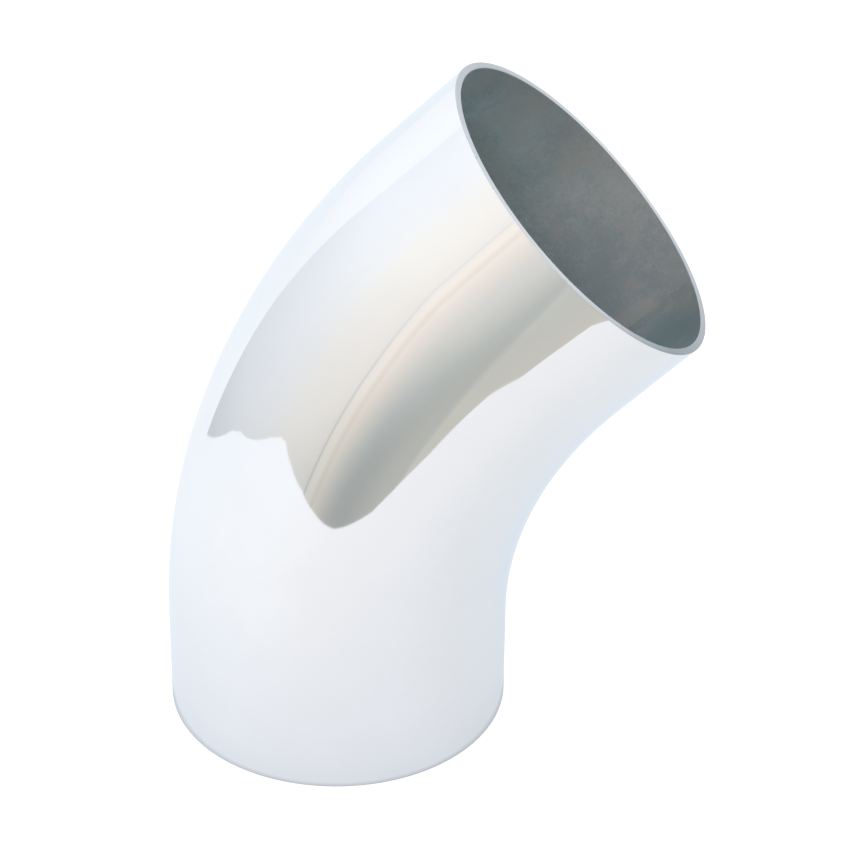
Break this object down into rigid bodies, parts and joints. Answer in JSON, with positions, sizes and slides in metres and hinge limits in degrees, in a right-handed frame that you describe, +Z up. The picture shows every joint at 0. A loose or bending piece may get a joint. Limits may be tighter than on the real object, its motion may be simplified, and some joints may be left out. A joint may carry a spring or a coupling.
{
  "type": "flue elbow",
  "caption": "Plain-ended 45 degree elbow in mirror-polished stainless tube, bent with a short straight at each end, that turns a flue or duct run.",
  "frame": {"origin": "centre of the lower end face, on the lower straight's axis", "axes": "+Z up along the lower straight into the bend, the bend turns towards +X in the XZ plane, +Y across it on the weld's side"},
  "size_m": [0.1561, 0.1016, 0.2037],
  "materials": {
    "polished_stainless": "mirror polished outside, matt pickled bore",
    "weld_metal": "ground flush and polished outside, rolled root inside"
  },
  "bodies": {
    "root": {"elbow_tube": "polished_stainless", "seam_weld": "weld_metal"}
  },
  "joints": []
}
